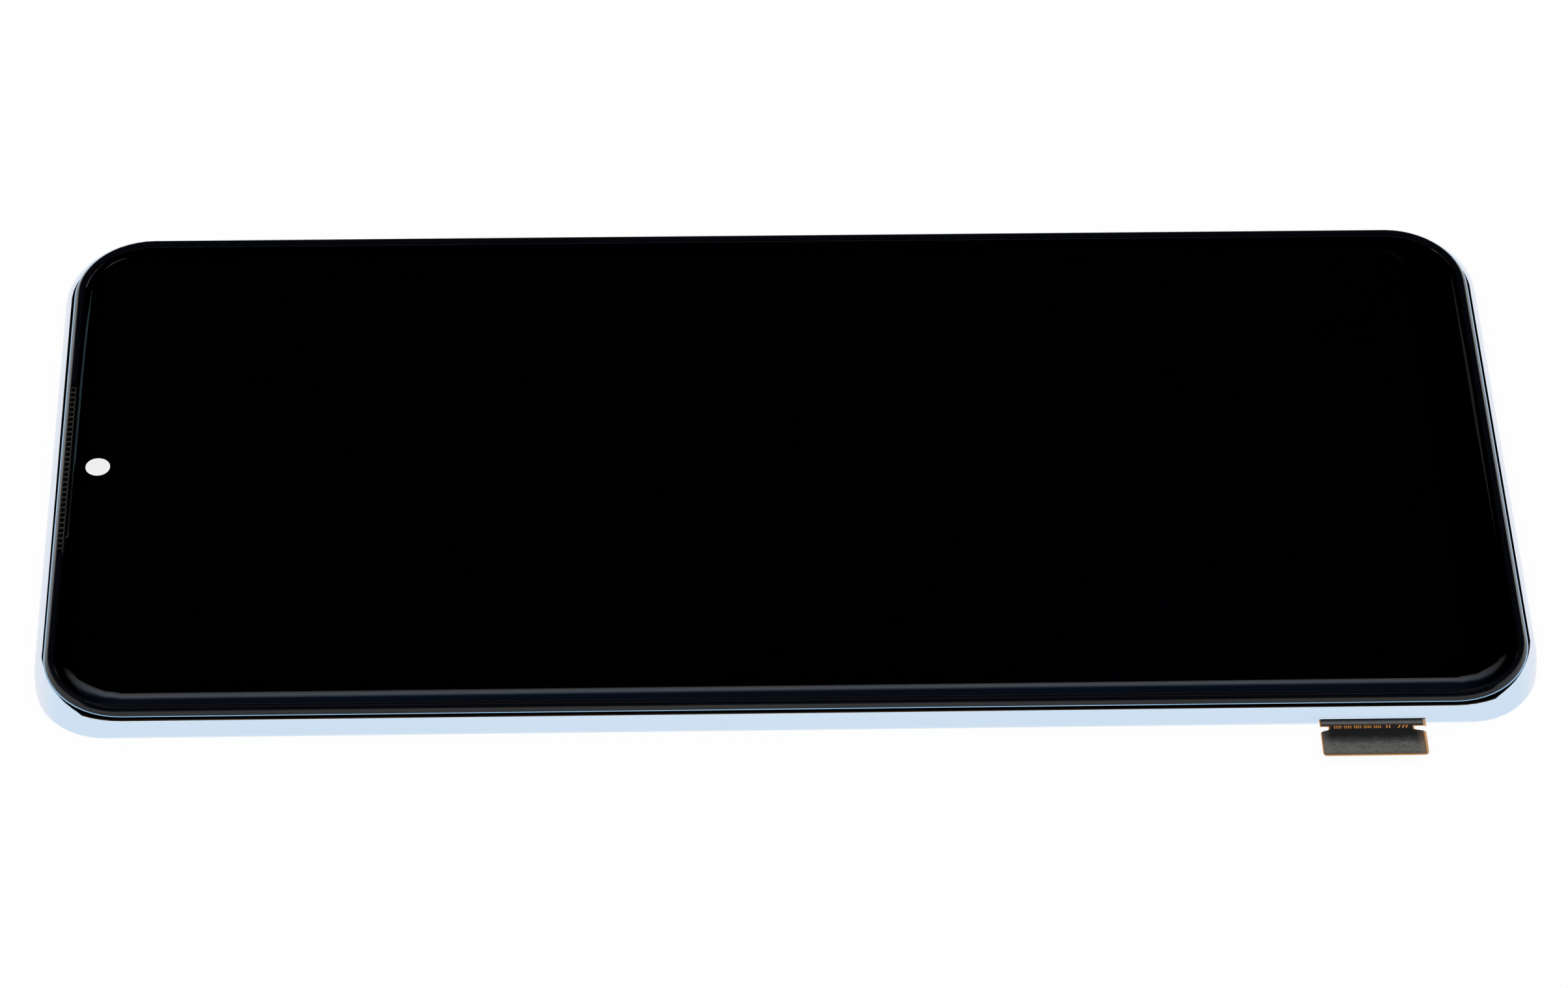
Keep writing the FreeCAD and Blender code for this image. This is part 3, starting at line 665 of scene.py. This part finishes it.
polyimide = {
    "dark": (0.0060, 0.0022, 0.0010),
    "brown": (0.022, 0.008, 0.0025),
    "film": (0.0025, 0.0022, 0.0022),
    "amber": (0.56, 0.24, 0.045),
    "pale": (0.62, 0.36, 0.17),
    "leftBorder": 0.00013,
    "rightBorder": 0.00030,
    "endBorder": 0.00012,
    "neckEdges": (0.0581, 0.0674),
    "headEdges": (0.0572, 0.06865),
    "headEnd": -0.04305,
    "neckStart": -0.03886,
    "neckTurn": -0.03958,
    "wall": -0.0380,
    "filmAbove": 0.00091,
    "fade": (1.35, 0.35),        # in borders, where the amber edge starts and where it is full
    "paleFrom": 0.0665,          # the cut edge turns paler from here to the right, over this way
    "paleFade": 0.002,
    "paleWander": 0.3,
    "mottle": 0.0005,
    "weave": 0.00016,
    "stretch": 0.3,
    "relief": 0.000003,
    "roughness": (0.24, 0.38),
    "gloss": 0.35,
}


def amberFlex(values):
    # dark where copper lies behind the film, amber and clear along its cut edges
    material, start = startFinish("amberFlex")
    x, y, z = axes(start)
    tail = y.above(values["neckStart"])
    neck = (1.0 - tail) * y.above(values["neckTurn"])
    low, high = (between(pair, neck) for pair in zip(values["headEdges"], values["neckEdges"]))
    rightBorder = between((values["rightBorder"], values["leftBorder"]), neck)
    fromSides = ((x - low) / values["leftBorder"]).atMost((high - x) / rightBorder)
    fromEnd = (y - values["headEnd"]) / values["endBorder"]
    edge = ramped(fromSides.atMost(fromEnd), *values["fade"]) * y.below(values["wall"])
    mottle = noise(start, values["mottle"], 3.0)
    weave = noise(start, values["weave"], 2.0, 0.5, stretched(start, (1.0, values["stretch"], 1.0)))
    base = shade(start, mottle * 0.5 + weave * 0.5, values["dark"], values["brown"])
    base = shade(start, tail * z.above(values["filmAbove"]), base, values["film"])
    paler = (x - values["paleFrom"]) / values["paleFade"] + values["paleWander"] * (mottle - 0.5)
    cut = shade(start, paler, values["amber"], values["pale"])
    colour = shade(start, edge, base, cut)
    roughness = between(values["roughness"], mottle)
    normal = bump(start, weave, values["relief"])
    endFinish(start, principled(start, colour, roughness, normal=normal, specular=values["gloss"]))
    return material


goldTrace = {
    "dark": (0.85, 0.30, 0.020),
    "light": (1.00, 0.44, 0.05),
    "wearSize": 0.0002,
    "roughness": (0.28, 0.43),
}


def goldTraces(values):
    material, start = startFinish("goldTraces")
    wear = noise(start, values["wearSize"], 2.0)
    colour = shade(start, wear, values["dark"], values["light"])
    endFinish(start, principled(start, colour, between(values["roughness"], wear)))
    return material


# slot: name, its two tones, grain size, lowest and highest roughness, and what else differs
grains = {
    "black_steel_mesh": ("blackSteelMesh", (0.0015, 0.0015, 0.0015), (0.0040, 0.0040, 0.0035), 0.0002,
                         (0.45, 0.60), {"depth": 0.000002, "gloss": 0.1}),
    "bare_wire": ("bareWire", (0.055, 0.055, 0.046), (0.115, 0.110, 0.090), 0.0002,
                  (0.30, 0.45), {"depth": 0.000002, "metallic": 0.2}),
    "deep_cloth": ("deepCloth", (0.0006, 0.0006, 0.0006), (0.0018, 0.0018, 0.0018), 0.00008,
                   (0.8, 0.9), {"gloss": 0.05}),
    "black_ink": ("blackInk", (0.0, 0.0001, 0.0007), (0.0001, 0.0002, 0.0011), 0.0003,
                  (0.5, 0.6), {"gloss": 0.0}),
    "black_foam_tape": ("blackFoamTape", (0.008, 0.008, 0.008), (0.022, 0.022, 0.022), 0.00012,
                        (0.8, 0.95), {"depth": 0.00001}),
    "polarizer_film": ("polarizerFilm", (0.0, 0.0001, 0.0003), (0.0, 0.0001, 0.0006), 0.004,
                       (0.3, 0.4), {"gloss": 0.0}),
    "silicon": ("siliconChip", (0.05, 0.05, 0.055), (0.10, 0.10, 0.11), 0.0008,
                (0.15, 0.25), {"metallic": 0.4}),
    "optical_film": ("opticalFilm", (0.72, 0.73, 0.74), (0.82, 0.83, 0.83), 0.0001,
                     (0.3, 0.45), {"depth": 0.000002, "stretch": (1.0, 0.02, 1.0)}),
    "light_guide_acrylic": ("lightGuideAcrylic", (0.80, 0.83, 0.82), (0.90, 0.92, 0.91), 0.0002,
                            (0.1, 0.2), {"depth": 0.000002}),
    "silver_film": ("silverFilm", (0.78, 0.78, 0.79), (0.90, 0.90, 0.90), 0.0015,
                    (0.08, 0.16), {"metallic": 1.0}),
    "led_package": ("ledPackage", (0.80, 0.62, 0.16), (0.92, 0.80, 0.36), 0.0003,
                    (0.35, 0.5), {}),
    "white_flex": ("whiteFlex", (0.72, 0.72, 0.70), (0.84, 0.84, 0.81), 0.0004,
                   (0.4, 0.55), {"depth": 0.000003}),
    "white_plastic": ("whitePlastic", (0.74, 0.74, 0.72), (0.84, 0.84, 0.82), 0.0002,
                      (0.45, 0.6), {"depth": 0.000004, "well": cameraWell}),
    "tray_steel": ("traySteel", (0.42, 0.42, 0.43), (0.60, 0.60, 0.61), 0.0004,
                   (0.22, 0.38),
                   {"depth": 0.000003, "metallic": 1.0, "stretch": (0.03, 1.0, 1.0), "well": cameraWell}),
    "plate_aluminium": ("plateAluminium", (0.34, 0.345, 0.355), (0.48, 0.485, 0.495), 0.0003,
                        (0.34, 0.5), {"depth": 0.000005, "metallic": 1.0, "stretch": (1.0, 0.06, 1.0)}),
    "moulded_black_plastic": ("mouldedBlackPlastic", (0.012, 0.012, 0.013), (0.030, 0.030, 0.032), 0.00012,
                              (0.42, 0.6), {"depth": 0.000009}),
    "brass": ("turnedBrass", (0.55, 0.38, 0.12), (0.78, 0.58, 0.24), 0.0002,
              (0.22, 0.36), {"depth": 0.000003, "metallic": 1.0}),
    "component_body": ("componentBody", (0.10, 0.07, 0.05), (0.24, 0.19, 0.14), 0.0002,
                       (0.4, 0.6), {}),
}

finishes = {
    "ice_blue_metal": iceBlueMetal(iceBlue),
    "gloss_black_plastic": glossBlackPlastic(glossBlack),
    "cover_glass": clearGlass(screenGlass),
    "optical_adhesive": clearFilm("opticalAdhesive", clearLayer),
    "cell_glass": clearFilm("cellGlass", clearLayer),
    "polyimide": amberFlex(polyimide),
    "shield_film": stiffenerPaintedShade(stiffenerFilm),
    "tail_film": tailShieldPaintedHighlight(tailFilm),
    "gold_contacts": goldTraces(goldTrace),
}
for slotName, (name, dark, light, grain, roughness, others) in grains.items():
    finishes[slotName] = grainFinish(name, dark, light, grain, roughness, **others)
print("finishes made:", len(finishes))


# pieces over the frame

slack = 1e-6                    # a point this near to a limit counts as on it

# pairs are for the long sides and the ends
shoulder = {
    "widest": 0.00135,          # height of the solid frame's widest line
    "flatTop": 0.00274,         # height of the shoulder's upper edge in the solid frame
    "top": 0.00095,             # the riser's inset in the solid frame
    "foot": (0.00292, 0.00283), # height at which the shoulder meets the riser here
    "footInset": (0.00095, 0.00109),
    "footLean": 66.0,           # how far from level the metal's outward direction has turned there
    "riserTop": 0.00290,        # where metal and lip meet in the solids
    "meet": 0.003006,           # where they meet here
    "meetInset": (0.00100, 0.00125),
    "crest": 0.00180,           # the lip stays as it is from this inset inwards
}


def insetAt(spot, values):
    # the same distance as insetOf gives, for a point
    outX = abs(spot.x) - (values["halfLength"] - values["corner"])
    outY = abs(spot.y) - (values["halfWidth"] - values["corner"])
    reach = math.hypot(max(outX, 0.0), max(outY, 0.0))
    return values["corner"] - reach - min(max(outX, outY), 0.0)


def outwardsAt(spot, values):
    # the level direction straight out of the rounded frame
    reachX, reachY = (values[key] - values["corner"] for key in ("halfLength", "halfWidth"))
    centre = Vector((max(-reachX, min(spot.x, reachX)), max(-reachY, min(spot.y, reachY)), 0.0))
    return (Vector((spot.x, spot.y, 0.0)) - centre).normalized()


def leanShoulder(shell, values):
    # the shoulder as an elliptic arc that still slopes where the leaning riser starts
    for vert in shell.verts:
        inset = insetAt(vert.co, body)
        if not slack < inset < values["top"] + slack:
            continue
        outwards = outwardsAt(vert.co, body)
        atEnd = outwards.x ** 2
        if values["widest"] < vert.co.z < values["flatTop"] + slack:
            run = between(values["footInset"], atEnd)
            rise = between(values["foot"], atEnd) - values["widest"]
            share = 1.0 / (math.tan(math.radians(values["footLean"])) * rise / run - 1.0)
            wide, tall = run / (1.0 - share), rise / math.sqrt(1.0 - share * share)
            newInset = inset * run / values["top"]
            vert.co -= outwards * (newInset - inset)
            level = 1.0 - newInset / wide
            vert.co.z = values["widest"] + tall * math.sqrt(max(0.0, 1.0 - level * level))
        elif abs(vert.co.z - values["riserTop"]) < slack:
            vert.co -= outwards * (between(values["meetInset"], atEnd) - inset)
            vert.co.z = values["meet"]


def leanLip(shell, values):
    # the lip's outer slope, with its foot where the metal's riser now ends
    for vert in shell.verts:
        inset = insetAt(vert.co, body)
        if inset < values["crest"] and vert.co.z > values["riserTop"] - slack:
            outwards = outwardsAt(vert.co, body)
            foot = between(values["meetInset"], outwards.x ** 2)
            past = (inset - values["top"]) / (values["crest"] - values["top"])
            if abs(vert.co.z - values["riserTop"]) < slack and past < 0.01:
                vert.co.z = values["meet"]
            vert.co -= outwards * ((foot - values["top"]) * (1.0 - past))


squareFoot = {
    "radius": 0.0082,           # of the lower wall's near corners, seen from above
    "height": (0.0016, 0.0005), # no change above the first height, and all of it below the second
    "skin": (0.0019, 0.0008),   # no change past the first inset, and all of it up to the second
}


def held(value, low, high):
    # as ramped does, for a number
    return min(1.0, max(0.0, (value - low) / (high - low)))


def squareCorners(shell, values):
    # the lower wall turns its near corners more tightly than the shoulder does
    radius = body["corner"]
    tighter = radius - values["radius"]
    for vert in shell.verts:
        inset = insetAt(vert.co, body)
        share = held(vert.co.z, *values["height"]) * held(inset, *values["skin"])
        outwards = outwardsAt(vert.co, body)
        less, more = sorted((abs(outwards.x), abs(outwards.y)))
        if min(less, share) < slack or inset > radius or outwards.y > 0.0:
            continue
        reach = radius / more    # to the straight wall, or else to the tighter arc
        if less / more >= tighter / radius:
            rest = values["radius"] ** 2 - tighter ** 2 * (1.0 - 2.0 * less * more)
            reach = tighter * (less + more) + math.sqrt(max(0.0, rest))
        vert.co += outwards * (reach - radius) * share


notch = {
    "edges": (0.0569, 0.06915),
    "tightEdges": (0.0571, 0.06886),
    "cornerFoot": 0.00125,
    "top": 0.00175,
    "lowTop": 0.00140,
    "reach": -0.0363,           # the notch lies nearer than this
    "outerFace": -0.0380,
}


def tightenNotch(shell, values):
    # the notch in the near wall, drawn in around the flex
    (left, right), (newLeft, newRight) = values["edges"], values["tightEdges"]
    drop = (values["lowTop"] - values["cornerFoot"]) / (values["top"] - values["cornerFoot"])
    for vert in shell.verts:
        inside = left - slack < vert.co.x < right + slack and vert.co.z < values["top"] + slack
        if inside and vert.co.y < values["reach"]:
            vert.co.x = newLeft + (vert.co.x - left) * (newRight - newLeft) / (right - left)
            if vert.co.z > values["cornerFoot"]:
                vert.co.z = values["cornerFoot"] + (vert.co.z - values["cornerFoot"]) * drop
                if vert.co.y < values["outerFace"]:
                    vert.co.y = -body["halfWidth"]


# for a few pieces: axis, the span that moves, and where the span goes
refits = {
    "headStiffener": [
        (0, (0.05747, 0.06838), (0.05734, 0.06828)),
        (1, (-0.04278, -0.03930), (-0.04293, -0.03930)),
    ],
    "flexShield": [(1, (-0.03862, -0.03700), (-0.03880, -0.03700))],
    "displayFlex": [(1, (-0.03875, -0.03865), (-0.03891, -0.03881))],
    "opticalAdhesive": [(2, (0.00290, 0.00302), (0.002906, 0.003014))],
    "colorFilterGlass": [(2, (0.00258, 0.00278), (0.002586, 0.002774))],
    "tftGlass": [(2, (0.00238, 0.00258), (0.002386, 0.002574))],
}


def refit(shell, spans):
    for axis, (low, high), (newLow, newHigh) in spans:
        for vert in shell.verts:
            if low - slack < vert.co[axis] < high + slack:
                vert.co[axis] = newLow + (vert.co[axis] - low) * (newHigh - newLow) / (high - low)


reshapes = {
    "sideFrame": [(leanShoulder, shoulder), (squareCorners, squareFoot), (tightenNotch, notch)],
    "frontLip": [(leanLip, shoulder)],
}


def smoothCopy(node, name, sharpAngle=24.0, mergeWithin=2e-7):
    # the node's own shape with its facets merged and shaded as the curved faces that they stand for
    shell = bmesh.new()
    shell.from_mesh(frame["nodes"][node].data)
    bmesh.ops.remove_doubles(shell, verts=shell.verts, dist=mergeWithin)
    for reshape, values in reshapes.get(name, []):
        reshape(shell, values)
    refit(shell, refits.get(name, []))
    for face in shell.faces:
        face.smooth = True
    for edge in shell.edges:
        edge.smooth = len(edge.link_faces) == 2 and edge.calc_face_angle(math.pi) < math.radians(sharpAngle)
    data = bpy.data.meshes.new(name)
    shell.to_mesh(data)
    shell.free()
    piece = bpy.data.objects.new(name, data)
    scene.collection.objects.link(piece)
    weights = piece.modifiers.new("faceWeights", "WEIGHTED_NORMAL")
    weights.keep_sharp = True
    applyModifiers(piece)
    return piece


def applyModifiers(piece):
    # keeps what the modifiers make as a plain mesh
    bpy.context.view_layer.update()
    graph = bpy.context.evaluated_depsgraph_get()
    made = bpy.data.meshes.new_from_object(piece.evaluated_get(graph), depsgraph=graph)
    piece.modifiers.clear()
    piece.data = made
    made.name = piece.name


def dress(piece, material, slotName, *nodes):
    piece.data.materials.clear()
    piece.data.materials.append(material)
    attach(piece, "root")
    if nodes:
        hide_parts(*nodes)


smoothPieces = {
    "sideFrame": ("side_frame", "ice_blue_metal"),
    "frontLip": ("front_lip", "gloss_black_plastic"),
    "coverGlass": ("cover_glass", "cover_glass"),
    "displayFlex": ("display_flex", "polyimide"),
    "backlightTray": ("backlight_tray", "tray_steel"),
    "screwStandoffs": ("screw_standoffs", "brass"),
    "headStiffener": ("head_stiffener", "shield_film"),
    "flexShield": ("flex_shield", "shield_film"),
    "opticalAdhesive": ("optical_adhesive", "optical_adhesive"),
    "colorFilterGlass": ("color_filter_glass", "cell_glass"),
    "tftGlass": ("tft_glass", "cell_glass"),
}
ownFinish = {"flexShield": "tail_film"}

for pieceName, (node, slotName) in smoothPieces.items():
    dress(smoothCopy(node, pieceName), finishes[ownFinish.get(pieceName, slotName)], slotName, node)
print("smooth pieces:", len(smoothPieces))


# earpiece grille

grille = {
    "Cells": 33,
    "Pitch": 0.00079,
    "Cell Length": 0.00077,
    "Cell Width": 0.00058,
    "Corner": 0.00026,
    "Corner Steps": 4,
    "Wire": 0.000042,
    "Wire Sides": 8,
    "centre": (-0.080085, 0.0, 0.00302),
}

cloth = {
    "Size": (0.00056, 0.02650, 0.000012),
    "Rows": 3,
    "Columns": 40,
    "centre": (-0.080085, 0.0, 0.002912),
}


def geometryTree(name, values):
    # a tree with its output and a named input for each size, which are the values with a capital letter
    sizes = {key: value for key, value in values.items() if key[0].isupper()}
    kinds = {int: "NodeSocketInt", float: "NodeSocketFloat", tuple: "NodeSocketVector"}
    tree = bpy.data.node_groups.new(name, "GeometryNodeTree")
    tree.interface.new_socket("Geometry", in_out="OUTPUT", socket_type="NodeSocketGeometry")
    for key, value in sizes.items():
        tree.interface.new_socket(key, in_out="INPUT", socket_type=kinds[type(value)])
    start = Wire(tree)
    inputs = start.make("NodeGroupInput").socket.node.outputs
    return start, {out.name: Wire(tree, out) for out in inputs if out.name}


def moved(start, geometry, spot, turn=0.0):
    sockets = {"Geometry": geometry, "Translation": spot, "Rotation": (0.0, 0.0, math.radians(turn))}
    return start.make("GeometryNodeTransform", {}, sockets)


def grow(start, geometry, material, values, name):
    # ends the tree, runs it with the values given, and keeps the result as a plain mesh
    solid = start.make("GeometryNodeRealizeInstances", {}, {0: geometry})
    coated = start.make("GeometryNodeSetMaterial", {}, {"Geometry": solid, "Material": material})
    start.make("NodeGroupOutput", {}, {0: coated})
    piece = bpy.data.objects.new(name, bpy.data.meshes.new(name))
    scene.collection.objects.link(piece)
    modifier = piece.modifiers.new(name, "NODES")
    modifier.node_group = start.tree
    for item in start.tree.interface.items_tree:
        if item.in_out == "INPUT":
            modifier[item.identifier] = values[item.name]
    applyModifiers(piece)
    return piece


def earpieceGrille(values):
    start, given = geometryTree("earpieceGrille", values)
    outline = start.make("GeometryNodeCurvePrimitiveQuadrilateral", {"mode": "RECTANGLE"}, {
        "Width": given["Cell Width"], "Height": given["Cell Length"],
    })
    rounded = start.make("GeometryNodeFilletCurve", {"mode": "POLY"}, {
        "Curve": outline, "Radius": given["Corner"], "Count": given["Corner Steps"], "Limit Radius": True,
    })
    profile = start.make("GeometryNodeCurvePrimitiveCircle", {}, {
        "Resolution": given["Wire Sides"], "Radius": given["Wire"],
    })
    cell = start.make("GeometryNodeCurveToMesh", {}, {"Curve": rounded, "Profile Curve": profile})
    line = start.make("GeometryNodeMeshLine", {}, {
        "Count": given["Cells"],
        "Offset": start.make("ShaderNodeCombineXYZ", {}, {"Y": given["Pitch"]}),
    })
    spread = start.make("GeometryNodeInstanceOnPoints", {}, {"Points": line, "Instance": cell})
    half = (given["Cells"] - 1.0) * given["Pitch"] * -0.5
    centred = moved(start, spread, start.make("ShaderNodeCombineXYZ", {}, {"Y": half}))
    placed = moved(start, centred, values["centre"])
    piece = grow(start, placed, finishes["bare_wire"], values, "earpieceGrille")
    piece.data.shade_smooth()
    return piece


def earpieceCloth(values):
    # the fine black cloth behind the grille's cells
    start, given = geometryTree("earpieceCloth", values)
    sheet = start.make("GeometryNodeMeshCube", {}, {
        "Size": given["Size"], "Vertices X": given["Rows"], "Vertices Y": given["Columns"], "Vertices Z": 2,
    })
    placed = moved(start, sheet, values["centre"])
    return grow(start, placed, finishes["deep_cloth"], values, "earpieceCloth")


dress(earpieceGrille(grille), finishes["bare_wire"], "black_steel_mesh")
dress(earpieceCloth(cloth), finishes["deep_cloth"], "black_foam_tape")
print("earpiece grille made")


# copper pattern on the neck of the flex

copperPattern = {
    "Panels": 5,
    "Panel Pitch": 0.00108,
    "Columns": 4,
    "Rows": 3,
    "Cell": 0.00022,
    "Bar": (0.00016, 0.000040, 0.000008),
    "Trace": (0.000085, 0.00062, 0.000008),
    "firstPanel": (0.05878, -0.03914, 0.000924),
    "barTurns": (45.0, -45.0),
    "traceRise": 0.0001,         # of the traces' middles over the first panel's row
    "traces": [(0.06445, 0.0), (0.06475, 0.0), (0.06578, -32.0), (0.06622, -32.0), (0.06660, -20.0)],
}


def flexCopper(values):
    # cross-hatched panels, then a few single traces
    start, given = geometryTree("flexCopper", values)
    bar = start.make("GeometryNodeMeshCube", {}, {"Size": given["Bar"]})
    cross = joined(start, [moved(start, bar, (0.0, 0.0, 0.0), turn) for turn in values["barTurns"]])
    across = start.make("ShaderNodeCombineXYZ", {}, {"X": given["Cell"]})
    down = start.make("ShaderNodeCombineXYZ", {}, {"Y": given["Cell"]})
    aside = start.make("ShaderNodeCombineXYZ", {}, {"X": given["Panel Pitch"]})
    pattern = cross
    for count, offset in (("Columns", across), ("Rows", down), ("Panels", aside)):
        line = start.make("GeometryNodeMeshLine", {}, {"Count": given[count], "Offset": offset})
        pattern = start.make("GeometryNodeInstanceOnPoints", {}, {"Points": line, "Instance": pattern})
    placed = [moved(start, pattern, values["firstPanel"])]
    trace = start.make("GeometryNodeMeshCube", {}, {"Size": given["Trace"]})
    y, z = values["firstPanel"][1] + values["traceRise"], values["firstPanel"][2]
    for x, turn in values["traces"]:
        placed.append(moved(start, trace, (x, y, z), turn))
    return grow(start, joined(start, placed), finishes["gold_contacts"], values, "flexCopper")


def joined(start, parts):
    together = start.make("GeometryNodeJoinGeometry")
    for part in parts:
        start.tree.links.new(part.socket, together.socket.node.inputs[0])
    return together


dress(flexCopper(copperPattern), finishes["gold_contacts"], "gold_contacts")
print("copper pattern made")

# the wall shows no mirror image of the flex
for name in ("displayFlex", "headStiffener", "flexShield", "flexCopper"):
    bpy.data.objects[name].visible_glossy = False
for name in ("flex_connector", "connector_contacts", "flex_components"):
    frame["nodes"][name].visible_glossy = False


# finishes of the other nodes

replaced = {node for node, slotName in smoothPieces.values()}

for row in frame["record"]["subparts"]:
    node = row["node"]
    if node not in replaced:
        data = frame["nodes"][node].data
        data.materials.clear()
        data.materials.append(finishes[row["material_slot"]])
print("all nodes dressed")
